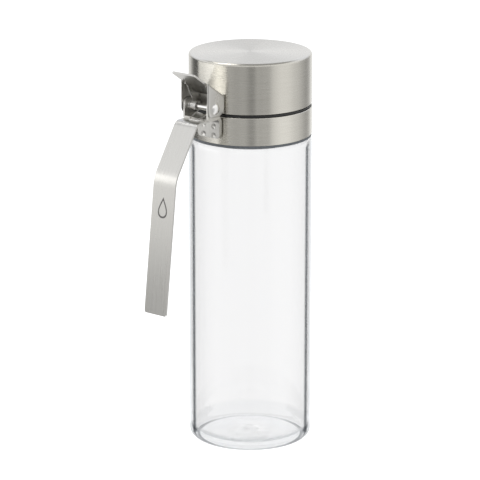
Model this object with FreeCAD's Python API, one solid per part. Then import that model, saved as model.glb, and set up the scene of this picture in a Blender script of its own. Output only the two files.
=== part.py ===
"""Oil dispenser bottle: a glass cylinder, a steel collar with a strap handle, and a sprung steel lid.

Units are millimetres.  The origin is on the bottle's axis at its base, +Z is up, the handle and the
hinge point to -X, and the lid turns about an axis along Y.  Side outlines are written as (r, z),
where r is the distance from the bottle's axis towards the handle, so x = -r.
"""
import FreeCAD, Part
import math
import os

V = FreeCAD.Vector

# Glass bottle
GLASS_R = 32.5
GLASS_WALL = 2.0
BASE_THICK = 4.0
BASE_ROUND = 4.0
FLOOR_ROUND = 3.5
GATHER_R = 10.5
GATHER_RISE = 1.1
GATHER_BLEND = 40.0
SHOULDER_R = 5.0
SHOULDER_DROP = 1.4
SHOULDER_RISE = 3.0
NECK_SET_IN = 8.0
NECK_WALL = 2.5

# Collar, its plastic insert, the seals and the pourer
COLLAR_Z = 167.4
COLLAR_H = 14.8
COLLAR_WALL = 0.6
SEAL_H = 1.4
SEAL_GAP = 0.3
SEAL_SET_BACK = 0.2
INSERT_WALL = 2.0
THREAD_GAP = 0.3
FIT_GAP = 0.05
GASKET_THICK = 1.2
FLANGE_THICK = 1.4
FLANGE_SET_BACK = 0.5
DECK_THICK = 1.6
DECK_OVERHANG = 2.5
PLUG_DEPTH = 6.0
PLUG_WALL = 1.6
SPOUT_X = 8.0
SPOUT_BORE_R = 4.6
SPOUT_WALL = 1.3
SPOUT_H = 19.0
SPOUT_LIP_R = 7.8
VENT_X = -13.0
VENT_R = 1.6
VENT_H = 5.0

# Lid cap, liner and stopper
LID_GAP = 0.2
LID_SET_BACK = 0.1
LID_H = 26.9
LID_WALL = 0.6
LID_ROUND = 1.6
LINER_THICK = 1.6
LINER_SKIRT_H = 7.0
STOPPER_R = 9.5
STOPPER_GAP = 0.2

# Strap handle: how far out from the glass and how far below its shelf its corners are
SHEET = 1.0
STRAP_HALF_W = 7.25
SHELF_RISE = 0.2
FOOT_RISE = 3.6
SHELF_REACH = 19.5
KNEE_REACH = 37.1
KNEE_DROP = 26.5
GRIP_REACH = 45.6
GRIP_DROP = 96.9
STRAP_FOOT_BEND = 3.0
STRAP_TOP_BEND = 5.0
STRAP_KNEE_BEND = 17.0
STRAP_CORNER = 1.6
FOOT_CORNER = 2.0
WELD_SPACING_T = 6.8
WELD_SPACING_Z = 4.8
WELD_DIMPLE_R = 1.5
WELD_DIMPLE_DEPTH = 0.4

# Hinge: bracket on the collar, lever on the lid, pin and torsion spring
PIN_REACH = 7.5
PIN_RISE = 5.9
PIN_R = 1.2
PIN_RUN_GAP = 0.05
HEAD_R = 3.0
HEAD_H = 1.3
BRACKET_FRONT = 5.0
BRACKET_BACK = 4.6
BRACKET_ABOVE = 4.2
BRACKET_ROUND = 3.0
LEVER_SIDE_GAP = 0.2
LEVER_BACK_GAP = 0.03
LEVER_PITCH_DEG = 33.5
LEVER_TOP_RISE = 5.6
LEVER_FRONT = 5.8
LEVER_LOBE_R = 4.7
TAB_REACH = 10.4
TAB_HALF_W = 7.6
TAB_CORNER = 1.2
RELIEF_DEPTH = 1.3
WIRE_R = 0.275
WIRE_BEND_R = 0.8
WIRE_REST_GAP = 0.02
COIL_PLAY = 0.7
COIL_GAP = 0.05
COIL_END_GAP = 0.125
RIGHT_SET_IN = 0.1
LEFT_TURNS = 2
RIGHT_TURNS = 6
CROSS_LEAD = 2.6
ARM_SIDE_GAP = 0.1
END_TURN_DEG = 325
ARM_REACH = 3.6
ARM_HOOK = 1.6

# Values that follow from the sizes above
COLLAR_TOP_Z = COLLAR_Z + COLLAR_H
SHOULDER_Z = COLLAR_Z - SHOULDER_DROP
NECK_FOOT_Z = SHOULDER_Z + SHOULDER_RISE
BORE_R = GLASS_R - GLASS_WALL
NECK_R = GLASS_R - NECK_SET_IN
NECK_BORE_R = NECK_R - NECK_WALL
DECK_UNDER_Z = COLLAR_TOP_Z - DECK_THICK
NECK_TOP_Z = DECK_UNDER_Z - GASKET_THICK
DECK_R = NECK_R + DECK_OVERHANG
FLANGE_TOP_Z = COLLAR_TOP_Z + FLANGE_THICK
LID_R = GLASS_R - LID_SET_BACK
LID_Z = FLANGE_TOP_Z + LID_GAP
LID_TOP_Z = LID_Z + LID_H
STRAP_TOP_Z = COLLAR_TOP_Z + SHELF_RISE
STRAP_FOOT_Z = COLLAR_Z + FOOT_RISE
STRAP_SHOULDER_R = GLASS_R + SHELF_REACH
STRAP_KNEE = (GLASS_R + KNEE_REACH, STRAP_TOP_Z - KNEE_DROP)
STRAP_END = (GLASS_R + GRIP_REACH, STRAP_TOP_Z - GRIP_DROP)
PIN_OUT_R = GLASS_R + PIN_REACH
PIN_Z = STRAP_TOP_Z + PIN_RISE
LEVER_TOP_Z = PIN_Z + LEVER_TOP_RISE
BRACKET_IN_T = STRAP_HALF_W
BRACKET_OUT_T = BRACKET_IN_T + SHEET
LEVER_IN_T = BRACKET_OUT_T + LEVER_SIDE_GAP
LEVER_OUT_T = LEVER_IN_T + SHEET
BRACKET_TOP_Z = STRAP_TOP_Z + SHEET
LEVER_BACK_R = LID_R + LEVER_BACK_GAP
ARM_T = BRACKET_IN_T - WIRE_R - ARM_SIDE_GAP
ARM_REACH_R = PIN_OUT_R + ARM_REACH
CROSS_R = PIN_OUT_R + BRACKET_FRONT + CROSS_LEAD * SHEET
COIL_R = PIN_R + COIL_PLAY + WIRE_R
COIL_PITCH = 2 * WIRE_R + COIL_GAP
COIL_END_T = ARM_T - 2 * WIRE_R - COIL_END_GAP
COIL_LEFT_T = -(COIL_END_T - LEFT_TURNS * COIL_PITCH)
COIL_RIGHT_T = COIL_END_T - RIGHT_SET_IN - RIGHT_TURNS * COIL_PITCH


# ---- outlines and solids -------------------------------------------------------------------------

def rounded(points):
    """Closed wire in the XY plane through (a, b, radius) corners, each rounded by its own radius."""
    edges = []
    ends = []
    count = len(points)
    for i in range(count):
        here = V(points[i][0], points[i][1], 0)
        radius = points[i][2]
        to_last = (V(*points[i - 1][:2], 0) - here).normalize()
        to_next = (V(*points[(i + 1) % count][:2], 0) - here).normalize()
        if radius <= 0:
            ends.append((here, here, here))
            continue
        half = to_last.getAngle(to_next) / 2
        setback = radius / math.tan(half)
        middle = here + (to_last + to_next).normalize() * (radius / math.sin(half) - radius)
        ends.append((here + to_last * setback, middle, here + to_next * setback))
    for i in range(count):
        start, middle, end = ends[i]
        if start.distanceToPoint(end) > 1e-6:
            edges.append(Part.Arc(start, middle, end).toShape())
        follow = ends[(i + 1) % count][0]
        if end.distanceToPoint(follow) > 1e-6:
            edges.append(Part.LineSegment(end, follow).toShape())
    return Part.Wire(edges)


def side_face(wire, t):
    """The (r, z) outline stood up in the plane y = t, with r towards -X."""
    turned = wire.copy()
    turned.transformShape(FreeCAD.Matrix(-1, 0, 0, 0, 0, 0, -1, t, 0, 1, 0, 0, 0, 0, 0, 1))
    return Part.Face(turned)


def side_prism(points, t_from, t_to):
    """A sheet or block with an (r, z, radius) outline, from y = t_from to y = t_to."""
    return side_face(rounded(points), t_from).extrude(V(0, t_to - t_from, 0))


def turned(points, x=0.0):
    """A solid of revolution about the vertical line through x, from (radius, z, rounding) corners."""
    wire = rounded(points)
    wire.rotate(V(), V(1, 0, 0), 90)
    solid = Part.Face(wire).revolve(V(), V(0, 0, 1), 360)
    solid.translate(V(x, 0, 0))
    return solid


def cylinder(radius, height, x, z):
    return Part.makeCylinder(radius, height, V(x, 0, z))


def cross_bar(radius, t_from, t_to):
    """A round bar on the pin's axis."""
    return Part.makeCylinder(radius, t_to - t_from, V(-PIN_OUT_R, t_from, PIN_Z), V(0, 1, 0))


def strip(path, thickness):
    """Outline of a bent strip: path is its convex face as (r, z, bend radius), the rest is offset."""
    count = len(path)
    offset = []
    for i in range(count):
        here = V(path[i][0], path[i][1], 0)
        directions = []
        if i > 0:
            directions.append((here - V(path[i - 1][0], path[i - 1][1], 0)).normalize())
        if i < count - 1:
            directions.append((V(path[i + 1][0], path[i + 1][1], 0) - here).normalize())
        normals = [V(d.y, -d.x, 0) for d in directions]
        middle = sum(normals[1:], normals[0]).normalize()
        inner = here + middle * (thickness / middle.dot(normals[0]))
        offset.append((inner.x, inner.y, max(path[i][2] - thickness, 0)))
    return list(path) + offset[::-1]


def one_solid(shape):
    """The single clean solid of a Boolean result."""
    cleaned = shape.removeSplitter()
    if len(cleaned.Solids) != 1:
        raise ValueError("expected one solid, found %d" % len(cleaned.Solids))
    return cleaned.Solids[0]


def tube_along(edges, radius):
    """A round wire along joined edges."""
    path = Part.Wire(Part.__sortEdges__(edges))
    start = path.OrderedEdges[0]
    at = start.FirstParameter if start.Orientation == "Forward" else start.LastParameter
    ring = Part.Wire(Part.makeCircle(radius, start.valueAt(at), start.tangentAt(at)))
    return path.makePipeShell([ring], True, False)


# ---- bottle --------------------------------------------------------------------------------------

def glass_bottle():
    """Glass cylinder with a thick base, a low gather mark in it, a tight shoulder and a neck."""
    outside = [
        (0, 0, 0),
        (GLASS_R, 0, BASE_ROUND),
        (GLASS_R, SHOULDER_Z, SHOULDER_R),
        (NECK_R, NECK_FOOT_Z, 1.5),
        (NECK_R, NECK_TOP_Z, 1.0),
    ]
    inside = [
        (NECK_BORE_R, NECK_TOP_Z, 1.0),
        (NECK_BORE_R, NECK_FOOT_Z - GLASS_WALL, 2.5),
        (BORE_R, SHOULDER_Z - GLASS_WALL, SHOULDER_R - 1.0),
        (BORE_R, BASE_THICK, FLOOR_ROUND),
        (GATHER_R, BASE_THICK, GATHER_BLEND),
        (0, BASE_THICK + GATHER_RISE, 0),
    ]
    return turned(outside + inside)


def collar():
    """Thin steel sleeve round the bottle's neck."""
    inner = GLASS_R - COLLAR_WALL
    return turned([
        (inner, COLLAR_Z, 0.3),
        (GLASS_R, COLLAR_Z, 0.3),
        (GLASS_R, COLLAR_TOP_Z, 0.3),
        (inner, COLLAR_TOP_Z, 0.3),
    ])


def collar_insert():
    """Plastic ring inside the collar: it screws onto the neck, and its underside is hollowed."""
    outer = GLASS_R - COLLAR_WALL - FIT_GAP
    inner = NECK_R + THREAD_GAP
    top = COLLAR_TOP_Z
    foot = NECK_FOOT_Z + 1.5
    web = top - INSERT_WALL
    return turned([
        (inner, foot, 0),
        (inner + INSERT_WALL, foot, 0),
        (inner + INSERT_WALL, web, 0),
        (outer - INSERT_WALL, web, 0),
        (outer - INSERT_WALL, COLLAR_Z, 0),
        (outer, COLLAR_Z, 0),
        (outer, top, 0),
        (DECK_R + FIT_GAP, top, 0),
        (DECK_R + FIT_GAP, DECK_UNDER_Z, 0),
        (inner, DECK_UNDER_Z, 0),
    ])


def shoulder_r(z):
    """Radius of the rounded shoulder's outside at a height between its tangent points."""
    turn = math.atan2(GLASS_R - NECK_R, SHOULDER_RISE)
    centre_z = SHOULDER_Z - SHOULDER_R * math.tan(turn / 2)
    return GLASS_R - SHOULDER_R + math.sqrt(SHOULDER_R ** 2 - (z - centre_z) ** 2)


def shoulder_seal():
    """Soft ring between the collar's foot and the shoulder of the glass."""
    outer = GLASS_R - SEAL_SET_BACK
    low = COLLAR_Z - SEAL_H
    high = COLLAR_Z - 0.2
    return turned([
        (shoulder_r(low) + SEAL_GAP, low, 0),
        (outer, low, 0.3),
        (outer, COLLAR_Z, 0),
        (shoulder_r(high) + SEAL_GAP, COLLAR_Z, 0),
        (shoulder_r(high) + SEAL_GAP, high, 0),
    ])


def gasket():
    """Flat washer between the rim of the glass and the pourer's deck."""
    top = DECK_UNDER_Z
    return turned([
        (NECK_BORE_R + 0.2, NECK_TOP_Z, 0),
        (NECK_R, NECK_TOP_Z, 0),
        (NECK_R, top, 0),
        (NECK_BORE_R + 0.2, top, 0),
    ])


def pourer():
    """Plastic pourer: flange on the collar, sunk deck, plug in the neck, flared spout and air vent."""
    flange_r = GLASS_R - FLANGE_SET_BACK
    deck_z = COLLAR_TOP_Z
    under_z = DECK_UNDER_Z
    plug_r = NECK_BORE_R - FIT_GAP
    body = turned([
        (0, under_z, 0),
        (plug_r - PLUG_WALL, under_z, 0.8),
        (plug_r - PLUG_WALL, under_z - PLUG_DEPTH, 0.4),
        (plug_r, under_z - PLUG_DEPTH, 0.4),
        (plug_r, under_z, 0),
        (DECK_R, under_z, 0),
        (DECK_R, deck_z, 0),
        (flange_r, deck_z, 0.3),
        (flange_r, FLANGE_TOP_Z, 0.5),
        (DECK_R, FLANGE_TOP_Z, 0.5),
        (DECK_R - 1.2, deck_z, 0.8),
        (0, deck_z, 0),
    ])
    spout_r = SPOUT_BORE_R + SPOUT_WALL
    top = deck_z + SPOUT_H
    foot = deck_z - DECK_THICK / 2
    stem = turned([
        (0, foot, 0),
        (spout_r + 2.4, foot, 0),
        (spout_r + 2.4, deck_z, 0),
        (spout_r, deck_z + 2.4, 2.2),
        (spout_r, top - 3.0, 4.0),
        (SPOUT_LIP_R, top, 0.4),
        (0, top, 0),
    ], SPOUT_X)
    bore = turned([
        (0, under_z - 1.0, 0),
        (SPOUT_BORE_R, under_z - 1.0, 0),
        (SPOUT_BORE_R, top - 3.4, 4.0),
        (SPOUT_LIP_R - 1.0, top + 0.2, 0),
        (0, top + 0.2, 0),
    ], SPOUT_X)
    vent = cylinder(VENT_R + 1.0, VENT_H + 0.5, VENT_X, deck_z - 0.5)
    vent_bore = cylinder(VENT_R, VENT_H + DECK_THICK + 3.0, VENT_X, under_z - 1.0)
    return one_solid(body.fuse(stem).fuse(vent).cut(bore).cut(vent_bore))


# ---- strap handle and hinge bracket --------------------------------------------------------------

def strap_foot_r():
    """Radius of the strap foot's inner face, which lies on the hinge bracket's tab."""
    return GLASS_R + SHEET


def round_tab(r_from, r_to, z_low, z_high, half_w, corner):
    """A block that trims a vertical plate to a tongue with two rounded lower corners."""
    points = [
        (-half_w, z_low, corner),
        (half_w, z_low, corner),
        (half_w, z_high, 0),
        (-half_w, z_high, 0),
    ]
    wire = rounded(points)
    wire.transformShape(FreeCAD.Matrix(0, 0, -1, -r_from, 1, 0, 0, 0, 0, 1, 0, 0, 0, 0, 0, 1))
    return Part.Face(wire).extrude(V(-(r_to - r_from), 0, 0))


def weld_points():
    """(t, z) of the spot welds that hold the strap and the bracket to the collar."""
    middle_z = STRAP_FOOT_Z + 1.5 + WELD_SPACING_Z / 2
    for side in (-1, 1):
        for step in (-1, 1):
            yield side * WELD_SPACING_T / 2, middle_z + step * WELD_SPACING_Z / 2


def handle():
    """Bent steel strap: welded foot, shelf, top bend and the long grip that ends free."""
    path = [
        (strap_foot_r(), STRAP_FOOT_Z, 0),
        (strap_foot_r(), STRAP_TOP_Z, STRAP_FOOT_BEND),
        (STRAP_SHOULDER_R, STRAP_TOP_Z, STRAP_TOP_BEND),
        (*STRAP_KNEE, STRAP_KNEE_BEND),
        (*STRAP_END, 0),
    ]
    strap = side_prism(strip(path, SHEET), -STRAP_HALF_W, STRAP_HALF_W)
    trim_foot = round_tab(GLASS_R, STRAP_SHOULDER_R, STRAP_FOOT_Z, STRAP_TOP_Z, STRAP_HALF_W, FOOT_CORNER)
    middle_r = (STRAP_SHOULDER_R + strap_foot_r()) / 2
    grip_end = round_tab(middle_r, STRAP_END[0] + 5.0, STRAP_END[1] - 0.2, STRAP_TOP_Z + 1.0,
                         STRAP_HALF_W, STRAP_CORNER)
    foot_part = strap.common(trim_foot.common(
        Part.makeBox(middle_r - GLASS_R, 2 * STRAP_HALF_W, STRAP_TOP_Z,
                     V(-middle_r, -STRAP_HALF_W, 0))))
    grip_part = strap.common(grip_end)
    whole = foot_part.fuse(grip_part)
    outer_r = strap_foot_r() + SHEET
    ball_r = (WELD_DIMPLE_R ** 2 + WELD_DIMPLE_DEPTH ** 2) / (2 * WELD_DIMPLE_DEPTH)
    for t, z in weld_points():
        whole = whole.cut(Part.makeSphere(ball_r, V(-(outer_r + ball_r - WELD_DIMPLE_DEPTH), t, z)))
    return one_solid(whole)


def hinge_bracket():
    """Channel that stands on the strap's shelf: two ears, a floor and a tab down to the collar."""
    front = PIN_OUT_R + BRACKET_FRONT
    back = PIN_OUT_R - BRACKET_BACK
    top = PIN_Z + BRACKET_ABOVE
    tab_top = BRACKET_TOP_Z
    path = [
        (GLASS_R, STRAP_FOOT_Z + 0.5, 0),
        (GLASS_R, tab_top, STRAP_FOOT_BEND + SHEET),
        (front, tab_top, 0),
    ]
    floor = side_prism(strip(path, SHEET), -STRAP_HALF_W, STRAP_HALF_W)
    tongue = round_tab(GLASS_R - 1.0, front + 1.0, STRAP_FOOT_Z + 0.5, tab_top + 1.0, STRAP_HALF_W,
                       FOOT_CORNER)
    body = floor.common(tongue)
    ear = [
        (back, STRAP_TOP_Z, 0),
        (back, top, BRACKET_ROUND),
        (front, top, BRACKET_ROUND),
        (front, STRAP_TOP_Z, 0),
    ]
    for side in (-1, 1):
        low, high = sorted((side * BRACKET_IN_T, side * BRACKET_OUT_T))
        body = body.fuse(side_prism(ear, low, high))
    body = body.cut(cross_bar(PIN_R + PIN_RUN_GAP, -LEVER_OUT_T, LEVER_OUT_T))
    return one_solid(body)


# ---- lid -----------------------------------------------------------------------------------------

def lid_cap():
    """Drawn steel cap, open underneath."""
    inner = LID_R - LID_WALL
    return turned([
        (0, LID_TOP_Z, 0),
        (LID_R, LID_TOP_Z, LID_ROUND),
        (LID_R, LID_Z, 0.35),
        (inner, LID_Z, 0.35),
        (inner, LID_TOP_Z - LID_WALL, LID_ROUND - LID_WALL),
        (0, LID_TOP_Z - LID_WALL, 0),
    ])


def lid_liner():
    """Plastic liner pressed into the cap, with a short skirt and a boss over the spout."""
    outer = LID_R - LID_WALL - FIT_GAP
    top = LID_TOP_Z - LID_WALL - FIT_GAP
    disc = turned([
        (0, top, 0),
        (outer, top, LID_ROUND - LID_WALL),
        (outer, top - LINER_SKIRT_H, 0.3),
        (outer - LINER_THICK, top - LINER_SKIRT_H, 0.3),
        (outer - LINER_THICK, top - LINER_THICK, 1.2),
        (0, top - LINER_THICK, 0),
    ])
    boss = cylinder(STOPPER_R, 1.0, SPOUT_X, top - LINER_THICK - 1.0)
    return one_solid(disc.fuse(boss))


def stopper():
    """Soft pad that closes the spout's mouth when the lid is shut."""
    low = COLLAR_TOP_Z + SPOUT_H + STOPPER_GAP
    high = LID_TOP_Z - LID_WALL - FIT_GAP - LINER_THICK - 1.0
    return turned([
        (0, low, 0),
        (STOPPER_R - 0.6, low, 0.8),
        (STOPPER_R - 0.6, high, 0),
        (0, high, 0),
    ], SPOUT_X)


def lid_lever():
    """Folded sheet welded to the cap: back plate, two pin ears, sloping top and thumb tab."""
    slope = math.tan(math.radians(LEVER_PITCH_DEG))
    run = math.cos(math.radians(LEVER_PITCH_DEG))
    back = LEVER_BACK_R
    front = PIN_OUT_R + LEVER_FRONT
    front_top = LEVER_TOP_Z + (front - back) * slope
    lobe = PIN_Z - LEVER_LOBE_R

    def outline(set_in):
        lift = set_in / run
        return [
            (back + set_in, LEVER_TOP_Z + set_in * slope - lift, 0),
            (front + set_in, front_top + set_in * slope - lift, 0),
            (front + set_in, lobe - set_in, 0 if set_in else LEVER_LOBE_R),
            (back + set_in, lobe - set_in, 0 if set_in else LEVER_LOBE_R),
        ]

    shell = side_prism(outline(0), -LEVER_OUT_T, LEVER_OUT_T)
    top_edges = []
    for edge in shell.Edges:
        mid = edge.CenterOfMass
        on_side = abs(abs(mid.y) - LEVER_OUT_T) < 1e-3
        on_slope = abs(mid.z - LEVER_TOP_Z - (-mid.x - back) * slope) < 1e-3
        on_back = abs(-mid.x - back) < 1e-3
        if on_side and (on_slope or on_back) and edge.Length > 1.0:
            top_edges.append(edge)
    shell = shell.makeFillet(SHEET + 0.1, top_edges)
    shell = shell.cut(side_prism(outline(SHEET), -LEVER_IN_T, LEVER_IN_T))
    tab_path = [
        (front - 2.0, front_top - 2.0 * slope, 0),
        (front + TAB_REACH * run, front_top + TAB_REACH * run * slope, 0),
    ]
    tab = side_prism(strip(tab_path, SHEET), -TAB_HALF_W, TAB_HALF_W)
    corner_edges = []
    for edge in tab.Edges:
        mid = edge.CenterOfMass
        if abs(abs(mid.y) - TAB_HALF_W) < 1e-3 and -mid.x > front + TAB_REACH * run - SHEET:
            if abs(edge.Length - SHEET) < 1e-3:
                corner_edges.append(edge)
    tab = tab.makeFillet(TAB_CORNER, corner_edges)
    shell = shell.fuse(tab)
    for side in (-1, 1):
        low, high = sorted((side * TAB_HALF_W, side * LEVER_IN_T))
        notch = V(-(front + SHEET), low, LEVER_TOP_Z)
        shell = shell.cut(Part.makeBox(SHEET + RELIEF_DEPTH, high - low, LEVER_TOP_Z, notch))
    shell = shell.cut(cross_bar(PIN_R + FIT_GAP, -LEVER_OUT_T - 1.0, LEVER_OUT_T + 1.0))
    return one_solid(shell)


def hinge_pin():
    """Rivet through the four ears, with a domed head at each end."""
    reach = LEVER_OUT_T + 0.02
    pin = cross_bar(PIN_R, -reach - 0.5, reach + 0.5)
    ball_r = (HEAD_R ** 2 + HEAD_H ** 2) / (2 * HEAD_H)
    for side in (-1, 1):
        centre = V(-PIN_OUT_R, side * (reach + HEAD_H - ball_r), PIN_Z)
        ball = Part.makeSphere(ball_r, centre)
        low, high = sorted((side * reach, side * (reach + HEAD_H + 0.1)))
        pin = pin.fuse(ball.common(cross_bar(HEAD_R + 1.0, low, high)))
    return one_solid(pin)


# ---- torsion spring ------------------------------------------------------------------------------

def tangent_angle(reach_r, reach_z, side):
    """Angle on the coil, from +r towards +z, where a wire to the given point leaves it."""
    along = math.atan2(reach_z - PIN_Z, reach_r - PIN_OUT_R)
    distance = math.hypot(reach_z - PIN_Z, reach_r - PIN_OUT_R)
    return along + side * math.acos(COIL_R / distance)


def on_coil(angle, t):
    return V(-(PIN_OUT_R + COIL_R * math.cos(angle)), t, PIN_Z + COIL_R * math.sin(angle))


def coil_edge(angle, t, turns, side):
    """A helix round the pin that starts at the angle and runs towards side * Y."""
    helix = Part.makeHelix(COIL_PITCH, COIL_PITCH * turns, COIL_R)
    edge = helix.Edges[0].mirror(V(), V(0, 1, 0))
    if side < 0:
        edge = edge.mirror(V(), V(0, 0, 1))
    edge.rotate(V(), V(1, 0, 0), -90)
    edge.rotate(V(), V(0, 1, 0), math.degrees(angle) + 180)
    edge.translate(V(-PIN_OUT_R, t, PIN_Z))
    return edge


def corner_arc(before, corner, after, radius):
    """Start, middle and end of the arc that rounds a corner of the spring's wire."""
    back = (before - corner).normalize()
    on = (after - corner).normalize()
    half = back.getAngle(on) / 2
    setback = radius / math.tan(half)
    middle = corner + (back + on).normalize() * (radius / math.sin(half) - radius)
    return corner + back * setback, middle, corner + on * setback


def spring_coils():
    """The spring's fixed half: two coils and, between them, the U that rests on the strap's shelf."""
    angle = tangent_angle(CROSS_R, STRAP_TOP_Z + WIRE_R + WIRE_REST_GAP, -1)
    left = coil_edge(angle, COIL_LEFT_T, LEFT_TURNS, -1)
    right = coil_edge(angle, COIL_RIGHT_T, RIGHT_TURNS, 1)
    tops = []
    feet = []
    for coil in (left, right):
        top = coil.valueAt(coil.FirstParameter)
        down = coil.tangentAt(coil.FirstParameter) * -1
        tops.append(top)
        feet.append(top + down * ((CROSS_R + top.x) / abs(down.x)))
    left_arc = corner_arc(tops[0], feet[0], feet[1], WIRE_BEND_R)
    right_arc = corner_arc(feet[0], feet[1], tops[1], WIRE_BEND_R)
    edges = [
        left,
        Part.LineSegment(tops[0], left_arc[0]).toShape(),
        Part.Arc(*left_arc).toShape(),
        Part.LineSegment(left_arc[2], right_arc[0]).toShape(),
        Part.Arc(*right_arc).toShape(),
        Part.LineSegment(right_arc[2], tops[1]).toShape(),
        right,
    ]
    return tube_along(edges, WIRE_R)


def spring_arm(side):
    """One end turn of the spring with the arm that presses up under the lever's slope."""
    slope = math.tan(math.radians(LEVER_PITCH_DEG))
    lift = (SHEET + WIRE_R + 0.05) / math.cos(math.radians(LEVER_PITCH_DEG))
    reach_z = LEVER_TOP_Z + (ARM_REACH_R - LEVER_BACK_R) * slope - lift
    angle = tangent_angle(ARM_REACH_R, reach_z, 1)
    t = side * ARM_T
    start = on_coil(angle, t)
    turn = math.radians(END_TURN_DEG)
    back = [on_coil(angle + turn * part / 4, t) for part in range(4, 0, -1)]
    tip = V(-ARM_REACH_R, t, reach_z)
    hook = tip + V(-math.cos(math.radians(LEVER_PITCH_DEG)), 0,
                   math.sin(math.radians(LEVER_PITCH_DEG))) * ARM_HOOK
    bend = corner_arc(start, tip, hook, WIRE_BEND_R)
    edges = [
        Part.Arc(back[0], back[1], back[2]).toShape(),
        Part.Arc(back[2], back[3], start).toShape(),
        Part.LineSegment(start, bend[0]).toShape(),
        Part.Arc(*bend).toShape(),
        Part.LineSegment(bend[2], hook).toShape(),
    ]
    return one_solid(tube_along(edges, WIRE_R))


# ---- write the pieces ----------------------------------------------------------------------------

def main():
    nodes = {
        "glass_bottle": glass_bottle(),
        "shoulder_seal": shoulder_seal(),
        "collar": collar(),
        "collar_insert": collar_insert(),
        "gasket": gasket(),
        "pourer": pourer(),
        "handle": handle(),
        "hinge_bracket": hinge_bracket(),
        "spring_coils": spring_coils(),
        "lid_cap": lid_cap(),
        "lid_liner": lid_liner(),
        "stopper": stopper(),
        "lid_lever": lid_lever(),
        "hinge_pin": hinge_pin(),
        "spring_arm_left": spring_arm(-1),
        "spring_arm_right": spring_arm(1),
    }
    os.makedirs("parts", exist_ok=True)
    for name, shape in nodes.items():
        solid = shape if shape.ShapeType == "Solid" else one_solid(shape)
        print("%-18s valid %s  volume %.1f mm3" % (name, solid.isValid(), solid.Volume))
        solid.exportStep("parts/%s.step" % name)


main()
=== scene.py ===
"""Looks of the oil dispenser bottle: materials, studio, camera and the small details.

Lengths are metres.  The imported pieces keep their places; this script dresses them.
"""
import math

import bpy
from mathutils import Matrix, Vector


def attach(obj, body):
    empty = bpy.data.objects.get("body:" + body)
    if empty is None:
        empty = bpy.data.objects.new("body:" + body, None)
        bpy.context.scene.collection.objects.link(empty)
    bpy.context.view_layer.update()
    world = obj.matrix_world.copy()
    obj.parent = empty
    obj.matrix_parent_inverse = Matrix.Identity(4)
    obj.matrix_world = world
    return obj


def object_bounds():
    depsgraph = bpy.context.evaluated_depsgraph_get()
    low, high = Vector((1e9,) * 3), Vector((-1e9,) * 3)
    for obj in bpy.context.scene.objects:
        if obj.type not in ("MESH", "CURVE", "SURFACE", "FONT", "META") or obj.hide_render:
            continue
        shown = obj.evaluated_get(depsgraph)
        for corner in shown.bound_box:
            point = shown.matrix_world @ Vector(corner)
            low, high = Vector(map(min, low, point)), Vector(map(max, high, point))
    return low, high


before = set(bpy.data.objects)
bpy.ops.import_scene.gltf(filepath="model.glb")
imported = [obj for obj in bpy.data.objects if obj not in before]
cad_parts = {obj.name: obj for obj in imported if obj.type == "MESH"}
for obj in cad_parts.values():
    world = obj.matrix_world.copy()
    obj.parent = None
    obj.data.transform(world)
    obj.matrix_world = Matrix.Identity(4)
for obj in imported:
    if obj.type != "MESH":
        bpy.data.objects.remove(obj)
cad_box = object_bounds()

MM = 0.001
WHITE = (1.0, 1.0, 1.0, 1.0)

CAMERA_AZIMUTH = math.radians(-140.6)   # direction from the bottle to the camera, about +Z from +X
CAMERA_DISTANCE = 1.5
CAMERA_HEIGHT = 0.534
CAMERA_SIDE = -0.0175                   # negative: to the left of the bottle's axis
TARGET_SIDE = -0.0054
TARGET_HEIGHT = 0.1081
CAMERA_LENS = 219.8                     # millimetres, as is the sensor's width
SENSOR_WIDTH = 36.0
CAMERA_REACH = 20.0


# ---- node helpers --------------------------------------------------------------------------------

def add(tree, kind, inputs=None, **settings):
    """Adds a shader node, sets its properties, and sets or links its inputs."""
    node = tree.nodes.new("ShaderNode" + kind)
    for name, value in settings.items():
        setattr(node, name, value)
    for name, value in (inputs or {}).items():
        if isinstance(value, bpy.types.NodeSocket):
            tree.links.new(value, node.inputs[name])
        else:
            node.inputs[name].default_value = value
    return node


def math_node(tree, operation, first, second=0.0, clamp=False):
    return add(tree, "Math", {0: first, 1: second}, operation=operation, use_clamp=clamp).outputs[0]


def product(tree, first, *others):
    for other in others:
        first = math_node(tree, "MULTIPLY", first, other)
    return first


def map_range(tree, value, start, end, to_start=0.0, to_end=1.0, **settings):
    """Carries start..end over to to_start..to_end, and holds the ends outside it."""
    inputs = {0: value, 1: start, 2: end, 3: to_start, 4: to_end}
    return add(tree, "MapRange", inputs, **settings).outputs[0]


def mix_colour(tree, factor, first, second):
    node = add(tree, "Mix", {0: factor, 6: first, 7: second}, data_type="RGBA")
    return node.outputs[2]


def ramp(tree, factor, stops):
    """A colour ramp from (position, grey or colour) stops."""
    node = add(tree, "ValToRGB", {0: factor})
    elements = node.color_ramp.elements
    while len(elements) < len(stops):
        elements.new(0.5)
    for element, (position, value) in zip(elements, stops):
        element.position = position
        colour = value if isinstance(value, tuple) else (value, value, value)
        element.color = (*colour, 1.0)
    return node.outputs[0]


def object_place(tree):
    """A place on the piece: x, y, z and the distance from the bottle's axis."""
    x, y, z = add(tree, "SeparateXYZ", {0: add(tree, "TexCoord").outputs["Object"]}).outputs
    squares = math_node(tree, "ADD", product(tree, x, x), product(tree, y, y))
    return x, y, z, math_node(tree, "SQRT", squares)


def edge_on(tree, normal=None):
    """0 where the surface, or the normal given, points at the eye; 1 at right angles to that."""
    inputs = {"Blend": 0.5}
    if normal is not None:
        inputs["Normal"] = normal
    return add(tree, "LayerWeight", inputs).outputs["Facing"]


def new_material(name):
    material = bpy.data.materials.new(name)
    material.use_nodes = True
    tree = material.node_tree
    return material, tree, tree.nodes["Principled BSDF"]


def to_surface(tree, shader):
    tree.links.new(shader, tree.nodes["Material Output"].inputs["Surface"])


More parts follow.
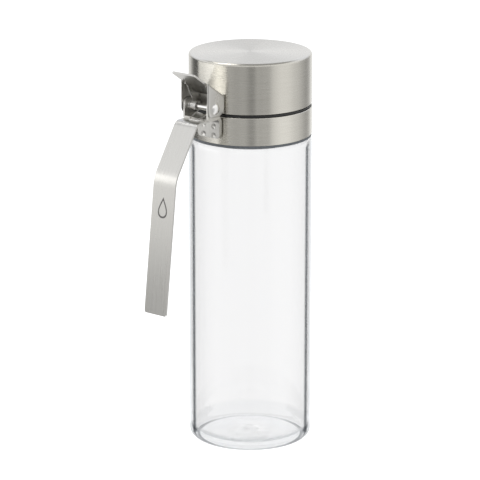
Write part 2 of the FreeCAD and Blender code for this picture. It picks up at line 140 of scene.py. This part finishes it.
# ---- metal, plastic and silicone -----------------------------------------------------------------

NOISE_LOW, NOISE_HIGH = 0.3, 0.7        # the noise's values that a look is spread over
BRUSHED_DEPTH = 0.02 * MM
MOULDED_DEPTH = 0.03 * MM
QUARTER_TURN = 0.25                     # turns the brushed gloss across the tangent
TURNED_GRAIN = 2600.0                   # noise per metre across the turning's lines
TURNED_FOLLOW = 2.2                     # radius of the circle that the noise follows round the axis
AXIS_GUARD = 0.01 * MM                  # keeps the axis itself from a division by zero
TURNED_DARK = Vector((0.61, 0.59, 0.535))
TURNED_LIGHT = Vector((0.67, 0.65, 0.595))
SHEET_GRAIN = (60.0, 3200.0, 60.0)      # noise per metre: the sheet is brushed along its bends
SHEET_LEAN = (0.01, 0.0, 0.05)          # keeps the tangent from vanishing on the sheet's edges


def vary_colour(tree, shader, noise, dark, light):
    colour = ramp(tree, noise, [(NOISE_LOW, dark), (NOISE_HIGH, light)])
    tree.links.new(colour, shader.inputs["Base Color"])


def vary_roughness(tree, shader, noise, smooth, rough):
    roughness = map_range(tree, noise, NOISE_LOW, NOISE_HIGH, smooth, rough)
    tree.links.new(roughness, shader.inputs["Roughness"])


def bump(tree, shader, noise, strength, depth):
    relief = add(tree, "Bump", {"Height": noise, "Strength": strength, "Distance": depth})
    tree.links.new(relief.outputs[0], shader.inputs["Normal"])


def brush(tree, shader, tangent, amount):
    """Metal whose gloss is drawn out across its brushing."""
    tree.links.new(tangent, shader.inputs["Tangent"])
    shader.inputs["Metallic"].default_value = 1.0
    shader.inputs["Anisotropic"].default_value = amount
    shader.inputs["Anisotropic Rotation"].default_value = QUARTER_TURN


def even_noise(tree, scale, detail):
    place = add(tree, "TexCoord").outputs["Object"]
    return add(tree, "TexNoise", {"Vector": place, "Scale": scale, "Detail": detail}).outputs[0]


def turned_noise(tree):
    """Fine noise drawn out round the axis, as turning or circular brushing leaves it."""
    x, y, z, radius = object_place(tree)
    safe = math_node(tree, "MAXIMUM", radius, AXIS_GUARD)
    vector = add(tree, "CombineXYZ", {
        0: product(tree, math_node(tree, "DIVIDE", x, safe), TURNED_FOLLOW),
        1: product(tree, math_node(tree, "DIVIDE", y, safe), TURNED_FOLLOW),
        2: product(tree, math_node(tree, "ADD", radius, z), TURNED_GRAIN),
    }).outputs[0]
    inputs = {"Vector": vector, "Scale": 1.0, "Detail": 4.0, "Roughness": 0.6}
    return add(tree, "TexNoise", inputs).outputs[0]


def turned_steel(name, lightness):
    """Stainless steel with fine circular brushing."""
    material, tree, shader = new_material(name)
    noise = turned_noise(tree)
    dark, light = tuple(lightness * TURNED_DARK), tuple(lightness * TURNED_LIGHT)
    vary_colour(tree, shader, noise, dark, light)
    vary_roughness(tree, shader, noise, 0.22, 0.30)
    bump(tree, shader, noise, 0.05, BRUSHED_DEPTH)
    brush(tree, shader, add(tree, "Tangent", direction_type="RADIAL", axis="Z").outputs[0], 0.8)
    return material


def sheet_steel():
    """Satin stainless sheet, brushed along its bends."""
    material, tree, shader = new_material("sheet_steel")
    place = add(tree, "TexCoord").outputs["Object"]
    drawn_out = add(tree, "Mapping", {"Vector": place, "Scale": SHEET_GRAIN}).outputs[0]
    noise = add(tree, "TexNoise", {"Vector": drawn_out, "Scale": 1.0, "Detail": 4.0}).outputs[0]
    vary_colour(tree, shader, noise, (0.62, 0.61, 0.58), (0.68, 0.67, 0.64))
    vary_roughness(tree, shader, noise, 0.26, 0.36)
    bump(tree, shader, noise, 0.10, BRUSHED_DEPTH)
    normal = add(tree, "NewGeometry").outputs["Normal"]
    across = add(tree, "VectorMath", {0: normal, 1: (0.0, 1.0, 0.0)}, operation="CROSS_PRODUCT")
    along = add(tree, "VectorMath", {0: across.outputs[0], 1: SHEET_LEAN}, operation="ADD")
    brush(tree, shader, along.outputs[0], 0.4)
    return material


def bright_wire():
    """Polished steel of the rivet and the spring."""
    material, tree, shader = new_material("bright_wire")
    noise = even_noise(tree, 1800.0, 3.0)
    vary_colour(tree, shader, noise, (0.84, 0.83, 0.81), (0.91, 0.90, 0.88))
    vary_roughness(tree, shader, noise, 0.18, 0.26)
    shader.inputs["Metallic"].default_value = 1.0
    return material


def moulded_plastic():
    """Black plastic with a fine moulded texture."""
    material, tree, shader = new_material("moulded_plastic")
    noise = even_noise(tree, 2500.0, 2.0)
    vary_colour(tree, shader, noise, 0.010, 0.018)
    bump(tree, shader, noise, 0.15, MOULDED_DEPTH)
    shader.inputs["Roughness"].default_value = 0.38
    return material


def soft_silicone():
    """Grey silicone of the seals."""
    material, tree, shader = new_material("soft_silicone")
    noise = even_noise(tree, 900.0, 3.0)
    vary_colour(tree, shader, noise, (0.095, 0.105, 0.115), (0.14, 0.15, 0.16))
    shader.inputs["Roughness"].default_value = 0.45
    return material


def etched_steel():
    """Dark matt steel of the etched mark."""
    material, tree, shader = new_material("etched_steel")
    noise = even_noise(tree, 4000.0, 3.0)
    vary_colour(tree, shader, noise, (0.12, 0.115, 0.11), (0.20, 0.195, 0.19))
    shader.inputs["Metallic"].default_value = 0.6
    shader.inputs["Roughness"].default_value = 0.6
    return material


# ---- glass ---------------------------------------------------------------------------------------

GLASS_WALL_MIDDLE = 31.5 * MM           # radius between the inner and the outer wall
GLASS_HEEL = 9.0 * MM                   # just above the thick base
GLASS_EDGE = 4.0 * MM                   # top of the base's rounded edge
GLASS_RIM = 27.0 * MM                   # the rounded edge is outside this radius
GATHER_R = 10.5 * MM                    # the low swelling in the middle of the floor
GLASS_IOR = 1.47
GLASS_TINT = (0.975, 0.975, 0.977, 1.0)
# painted shade: the plain transparent part is greyer to the camera than to the lamps, in place of
# the light lost at the glass's surfaces
CLEAR_DIMMED_TO_CAMERA = (0.83, 0.837, 0.842, 1.0)
CLEAR_TO_LIGHT = (0.95, 0.954, 0.957, 1.0)
CLEAR_ON_WALL = 0.75                    # share of the wall's painted shade in its plain transparent part
# painted shade: the colour of the dark rim painted on the base's rounded edge
PAINTED_RIM_SHADE = (0.06, 0.07, 0.08, 1.0)
UPRIGHT = (0.6, 0.1)                    # the normal's slope where the wall's look starts, is full
PAST_LINE = (0.677, 0.76)               # how edge on the wall is where plain glass takes over
PLAIN_WALL = 0.88                       # greatest share that is plain transparent, there
BASE_FADE = (GLASS_HEEL, 0.75 * GLASS_HEEL)
PLAIN_BASE = 0.85                       # and in the base,
PLAIN_GATHER = 0.5                      # less by this factor over the gather
GATHER_FADE = (0.6 * GATHER_R, 1.3 * GATHER_R)
PAINTED_RIM_SIDES = (0.05, 0.45)                # from the front and the back of the painted dark rim to its sides
PAINTED_RIM_RANGE = (0.3, 0.95)                 # and its strength at each
# Colour of the outer wall, all painted shade: a little greyer towards the sides, a painted dark
# line near each side in place of the dark surroundings that the wall's edge would refract, and pale
# again at the very edge; from where it is seen squarely, 0, to where it is seen edge on, 1.
WALL_PAINTED_SHADE = [
    (0.0, (0.94, 0.94, 0.942)),
    (0.27, (0.93, 0.93, 0.932)),
    (0.536, (0.85, 0.853, 0.857)),
    (0.588, (0.035, 0.04, 0.045)),
    (0.651, (0.035, 0.04, 0.045)),
    (0.698, (0.78, 0.79, 0.80)),
    (1.0, (0.95, 0.955, 0.96)),
]
# Strength of the painted dark rim, painted shade on the base's rounded edge, from square to edge
# on.
PAINTED_RIM_STRENGTHS = [(0.0, 0.0), (0.58, 0.0), (0.61, 1.0), (0.65, 1.0), (0.69, 0.1), (1.0, 0.2)]


def edge_on_level(tree, facing):
    """As edge_on, but of the level directions alone, so it is the same from any camera height."""
    upward = add(tree, "CombineXYZ", {2: 1.0}).outputs[0]
    rise = math_node(tree, "SUBTRACT", 1.0, edge_on(tree, upward))
    level = math_node(tree, "SQRT", math_node(tree, "SUBTRACT", 1.0, product(tree, rise, rise)))
    square = math_node(tree, "DIVIDE", math_node(tree, "SUBTRACT", 1.0, facing), level)
    return math_node(tree, "SUBTRACT", 1.0, square, clamp=True)


def outer_wall(tree, z, radius):
    """1 on the upright outer wall above the base's rounded edge, 0 elsewhere."""
    slope = add(tree, "SeparateXYZ", {0: add(tree, "NewGeometry").outputs["Normal"]}).outputs[2]
    upright = map_range(tree, math_node(tree, "ABSOLUTE", slope), *UPRIGHT)
    outside = math_node(tree, "GREATER_THAN", radius, GLASS_WALL_MIDDLE)
    above_edge = math_node(tree, "GREATER_THAN", z, GLASS_EDGE)
    return product(tree, outside, upright, above_edge)


def painted_base_rim(tree, facing, x, y, z, radius):
    """A painted dark rim, painted shade on the base's rounded edge, fainter at the front and the
    back.
    """
    radial = add(tree, "CombineXYZ", {0: x, 1: y}).outputs[0]
    outward = add(tree, "VectorMath", {0: radial}, operation="NORMALIZE").outputs[0]
    strength = map_range(tree, edge_on(tree, outward), *PAINTED_RIM_SIDES, *PAINTED_RIM_RANGE)
    outside = math_node(tree, "GREATER_THAN", radius, GLASS_RIM)
    below = math_node(tree, "LESS_THAN", z, GLASS_EDGE)
    return product(tree, ramp(tree, facing, PAINTED_RIM_STRENGTHS), strength, outside, below)


def plain_share(tree, edge_on_wall, on_wall, z, radius):
    """How much of the glass is plain transparent: by the wall's sides and in the thick base."""
    grazing = map_range(tree, edge_on_wall, *PAST_LINE, 0.0, PLAIN_WALL)
    in_base = map_range(tree, z, *BASE_FADE, 0.0, PLAIN_BASE)
    off_gather = map_range(tree, radius, *GATHER_FADE, PLAIN_GATHER, 1.0)
    return math_node(tree, "MAXIMUM", product(tree, in_base, off_gather),
                     product(tree, grazing, on_wall))


def clear_glass():
    """Clear glass that light passes through without a shadow.

    The outer wall has a painted dark line near each side, where its thickness is seen edge on, in
    place of the dark surroundings that refraction would show there, and the base has a painted dark
    rim.  Both are painted shade that follows how squarely the glass is seen.
    """
    material, tree, shader = new_material("clear_glass")
    x, y, z, radius = object_place(tree)
    facing = edge_on(tree)
    edge_on_wall = edge_on_level(tree, facing)
    path = add(tree, "LightPath").outputs
    on_wall = product(tree, outer_wall(tree, z, radius), path["Is Camera Ray"])
    # the ramp paints shade on the outer wall: greyer towards the sides and a painted dark line near
    # each
    wall = ramp(tree, edge_on_wall, WALL_PAINTED_SHADE)
    tree.links.new(mix_colour(tree, on_wall, GLASS_TINT, wall), shader.inputs["Base Color"])
    shader.inputs["Roughness"].default_value = 0.0
    shader.inputs["IOR"].default_value = GLASS_IOR
    shader.inputs["Transmission Weight"].default_value = 1.0

    # painted shade: greyer glass for the camera than for the lamps
    pale = mix_colour(tree, path["Is Camera Ray"], CLEAR_TO_LIGHT, CLEAR_DIMMED_TO_CAMERA)
    pale = mix_colour(tree, product(tree, on_wall, CLEAR_ON_WALL), pale, wall)
    # paints the dark rim on the base's rounded edge: painted shade
    pale = mix_colour(tree, painted_base_rim(tree, facing, x, y, z, radius), pale, PAINTED_RIM_SHADE)
    clear = add(tree, "BsdfTransparent", {"Color": pale}).outputs[0]
    share = math_node(tree, "MAXIMUM", path["Is Shadow Ray"],
                      plain_share(tree, edge_on_wall, on_wall, z, radius))
    to_surface(tree, add(tree, "MixShader", {0: share, 1: shader.outputs[0], 2: clear}).outputs[0])
    return material


def dress():
    """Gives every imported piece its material."""
    looks = {
        turned_steel("turned_steel", 1.0): ("lid_cap",),
        turned_steel("turned_steel_pale", 1.1): ("collar",),
        sheet_steel(): ("handle", "hinge_bracket", "lid_lever"),
        bright_wire(): ("hinge_pin", "spring_coils", "spring_arm_left", "spring_arm_right"),
        moulded_plastic(): ("pourer", "collar_insert", "lid_liner"),
        soft_silicone(): ("shoulder_seal", "gasket", "stopper"),
        clear_glass(): ("glass_bottle",),
    }
    for material, names in looks.items():
        for name in names:
            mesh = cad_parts[name].data
            mesh.materials.clear()
            mesh.materials.append(material)


# ---- the mark on the handle ----------------------------------------------------------------------

MARK_HEIGHT = 141 * MM                  # where the mark's middle is on the handle
MARK_LENGTH = 11 * MM
MARK_HALF_WIDTH = 3.3 * MM
MARK_LINE = 0.8 * MM
MARK_POINTS = 64
MARK_LIFT = 0.02 * MM                   # how far it stands off the handle's face
MARK_INNER_SHORT = 3.2 * MARK_LINE      # the inner outline is shorter, for an even line,
MARK_INNER_DROP = 0.4 * MARK_LINE       # and lower, for a stronger tip
DROP_FULLNESS = 1.3                     # brings the widest place to about the half width
DROP_TAPER = 1.5                        # more draws out the tip further
BEHIND_HANDLE = 0.2                     # well outside the handle, on its side of the bottle


def drop_outline(half_width, length):
    """A drop standing on its round end, as (across, along) points."""
    points = []
    for i in range(MARK_POINTS):
        angle = 2 * math.pi * i / MARK_POINTS
        across = half_width * DROP_FULLNESS * math.sin(angle) * math.sin(angle / 2) ** DROP_TAPER
        points.append((across, length / 2 * math.cos(angle)))
    return points


def drop_mark(material):
    """A small etched drop on the handle's outer face: it says what the bottle pours."""
    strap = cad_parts["handle"]
    to_strap = strap.matrix_world.inverted()
    start = to_strap @ Vector((-BEHIND_HANDLE, 0.0, MARK_HEIGHT))
    hit, place, normal, _ = strap.ray_cast(start, to_strap.to_3x3() @ Vector((1.0, 0.0, 0.0)))
    if not hit:
        raise ValueError("the mark found no handle to stand on")
    place = strap.matrix_world @ place
    normal = (strap.matrix_world.to_3x3() @ normal).normalized()
    across = Vector((0.0, 1.0, 0.0))
    along = across.cross(normal).normalized()
    if along.z < 0:
        along = -along
    outer = drop_outline(MARK_HALF_WIDTH, MARK_LENGTH)
    inner = drop_outline(MARK_HALF_WIDTH - MARK_LINE, MARK_LENGTH - MARK_INNER_SHORT)
    lift = place + normal * MARK_LIFT
    points = [lift + across * a + along * b for a, b in outer]
    points += [lift + across * a + along * (b - MARK_INNER_DROP) for a, b in inner]
    count = len(outer)
    faces = [(i, (i + 1) % count, count + (i + 1) % count, count + i) for i in range(count)]
    mesh = bpy.data.meshes.new("drop_mark")
    mesh.from_pydata(points, [], faces)
    mesh.materials.append(material)
    piece = bpy.data.objects.new("drop_mark", mesh)
    bpy.context.collection.objects.link(piece)
    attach(piece, "bottle")


# ---- studio --------------------------------------------------------------------------------------

# What metal sees round the bottle: (degrees from the camera's direction to its right, brightness).
STUDIO_STRIPS = [
    (-180, 0.95), (-150, 0.85), (-132, 0.14), (-104, 0.09), (-96, 0.18), (-86, 0.42), (-76, 0.52),
    (-66, 0.80), (-60, 0.70), (-53, 0.50), (-46, 0.62), (-38, 0.50), (-28, 0.44), (-14, 0.49),
    (-8, 0.46), (-2, 0.31), (3, 0.29), (7, 0.34), (12, 0.56), (18, 0.47), (26, 0.53), (34, 0.48),
    (42, 0.78), (58, 0.98), (76, 0.97), (90, 0.80), (100, 0.74), (112, 0.58), (128, 0.40),
    (142, 0.60), (152, 1.0), (180, 0.95),
]
BACKDROP = 1.12                         # above the strips
BACKDROP_COOL = 0.055                   # how blue the backdrop is behind the bottle
CEILING = 0.40                          # overhead
# A direction's height or depth, from -1 to 1, where one part of the studio passes into the next.
STRIPS_TO_BACKDROP = (0.05, 0.45)
BACKDROP_TO_CEILING = (0.60, 0.80)
FRONT_TO_BACK = (0.1, -0.6)
SOFT_LIGHT = (0.75, 0.76, 0.78, 1.0)    # what everything but metal is lit by

FLOOR_HALF = 6.0
FLOOR_GAP = 0.1 * MM                    # the floor is this far below the bottle
FLOOR_GLOW = 0.80                       # with the light on FLOOR_SEEN this comes to a pale floor
FLOOR_SEEN = (0.5, 0.5, 0.5, 1.0)
FLOOR_LIT = (0.8, 0.8, 0.8, 1.0)


def cool(brightness, amount):
    """A grey of that brightness, made bluer by the amount."""
    red, green, blue = 1 - amount, 1 - amount / 2, 1 + amount
    return (red * brightness, green * brightness, blue * brightness, 1.0)


def studio_world():
    """White to the camera and through glass; strips, backdrop and ceiling for metal to reflect."""
    world = bpy.data.worlds.new("studio")
    bpy.context.scene.world = world
    world.use_nodes = True
    tree = world.node_tree
    tree.nodes.clear()
    direction = add(tree, "TexCoord").outputs["Generated"]
    turned = add(tree, "VectorRotate", {"Vector": direction, "Angle": -CAMERA_AZIMUTH},
                 rotation_type="Z_AXIS").outputs[0]
    towards, right, up = add(tree, "SeparateXYZ", {0: turned}).outputs
    share = map_range(tree, math_node(tree, "ARCTAN2", right, towards), -math.pi, math.pi)
    strips = ramp(tree, share, [((degrees + 180.0) / 360.0, value)
                                for degrees, value in STUDIO_STRIPS])
    behind = map_range(tree, towards, *FRONT_TO_BACK)
    backdrop = mix_colour(tree, behind, cool(BACKDROP, 0.0), cool(BACKDROP, BACKDROP_COOL))
    overhead = map_range(tree, up, *BACKDROP_TO_CEILING, interpolation_type="SMOOTHSTEP")
    above = mix_colour(tree, overhead, backdrop, cool(CEILING, 0.0))
    height = map_range(tree, up, *STRIPS_TO_BACKDROP, interpolation_type="SMOOTHSTEP")
    seen_by_metal = mix_colour(tree, height, strips, above)
    path = add(tree, "LightPath").outputs
    white = math_node(tree, "MAXIMUM", path["Is Camera Ray"], path["Is Transmission Ray"])
    plain = mix_colour(tree, path["Is Glossy Ray"], SOFT_LIGHT, seen_by_metal)
    colour = mix_colour(tree, white, plain, WHITE)
    background = add(tree, "Background", {"Color": colour, "Strength": 1.0})
    output = add(tree, "OutputWorld")
    tree.links.new(background.outputs[0], output.inputs[0])


def floor():
    """A wide pale floor that keeps a faint shadow; metal and glass see the studio through it."""
    mesh = bpy.data.meshes.new("floor")
    corners = [(-FLOOR_HALF, -FLOOR_HALF, 0), (FLOOR_HALF, -FLOOR_HALF, 0),
               (FLOOR_HALF, FLOOR_HALF, 0), (-FLOOR_HALF, FLOOR_HALF, 0)]
    mesh.from_pydata(corners, [], [(0, 1, 2, 3)])
    plane = bpy.data.objects.new("floor", mesh)
    plane.location.z = cad_box[0][2] - FLOOR_GAP
    bpy.context.collection.objects.link(plane)
    material, tree, _ = new_material("floor")
    path = add(tree, "LightPath").outputs
    glow = add(tree, "Emission", {"Color": WHITE, "Strength": FLOOR_GLOW}).outputs[0]
    matt = add(tree, "BsdfDiffuse", {"Color": FLOOR_SEEN}).outputs[0]
    seen = add(tree, "AddShader", {0: glow, 1: matt}).outputs[0]
    lit = add(tree, "BsdfDiffuse", {"Color": FLOOR_LIT}).outputs[0]
    direct = add(tree, "MixShader", {0: path["Is Camera Ray"], 1: lit, 2: seen}).outputs[0]
    clear = add(tree, "BsdfTransparent").outputs[0]
    through = math_node(tree, "MAXIMUM", path["Is Glossy Ray"], path["Is Transmission Ray"])
    to_surface(tree, add(tree, "MixShader", {0: through, 1: direct, 2: clear}).outputs[0])
    mesh.materials.append(material)


def to_world(side, away, height):
    """A point given as seen from the camera: metres to its right, away from it, and up."""
    towards = Vector((math.cos(CAMERA_AZIMUTH), math.sin(CAMERA_AZIMUTH), 0.0))
    right = Vector((-towards.y, towards.x, 0.0))
    return right * side - towards * away + Vector((0, 0, height))


def round_the_bottle(degrees, distance):
    """Side and depth of a place: degrees from the camera's direction to its right, and metres
    from the bottle's axis.
    """
    angle = math.radians(degrees)
    return distance * math.sin(angle), -distance * math.cos(angle)


def aim(piece, target):
    """Turns a lamp or a camera to the target and puts it in the scene."""
    piece.rotation_euler = (target - piece.location).to_track_quat("-Z", "Y").to_euler()
    bpy.context.collection.objects.link(piece)


def softbox(name, side, away, height, size, power, aim_height=TARGET_HEIGHT):
    """A soft lamp at that side, depth and height from the camera, aimed at the bottle's axis."""
    lamp = bpy.data.lights.new(name, "AREA")
    lamp.shape = "RECTANGLE"
    lamp.size, lamp.size_y = size
    lamp.energy = power
    piece = bpy.data.objects.new(name, lamp)
    piece.location = to_world(side, away, height)
    piece.visible_camera = False
    piece.visible_transmission = False
    aim(piece, Vector((0, 0, aim_height)))
    return piece


def lamps():
    """Two wide lamps that metal doesn't mirror, then three on the camera's left that it does.

    The key whitens the handle's upper bend.  The window, and the brighter bar before it, give the
    lid and the collar their bright band.  Both stay lower than the lid's top, which would mirror
    them in a view from the side.
    """
    for wide in (softbox("fill", -0.9, -0.5, height=1.3, size=(0.8, 0.8), power=7.0),
                 softbox("top", 0.2, 0.3, height=1.6, size=(1.2, 1.2), power=5.0)):
        wide.visible_glossy = False
    softbox("key", *round_the_bottle(-88, 0.13), height=0.47, size=(0.14, 0.14), power=0.2,
            aim_height=0.2)
    softbox("window", *round_the_bottle(-80, 0.38), height=0.145, size=(0.42, 0.12), power=0.09,
            aim_height=0.145)
    softbox("window_bar", *round_the_bottle(-80, 0.16), height=0.188, size=(0.14, 0.04),
            power=0.016, aim_height=0.188)


def camera():
    lens = bpy.data.cameras.new("camera")
    lens.lens = CAMERA_LENS
    lens.sensor_width = SENSOR_WIDTH
    lens.clip_end = CAMERA_REACH
    piece = bpy.data.objects.new("camera", lens)
    piece.location = to_world(CAMERA_SIDE, -CAMERA_DISTANCE, CAMERA_HEIGHT)
    aim(piece, to_world(TARGET_SIDE, 0.0, TARGET_HEIGHT))
    bpy.context.scene.camera = piece


def main():
    dress()
    drop_mark(etched_steel())
    studio_world()
    floor()
    lamps()
    camera()
    bpy.context.scene.view_settings.view_transform = "Standard"


main()
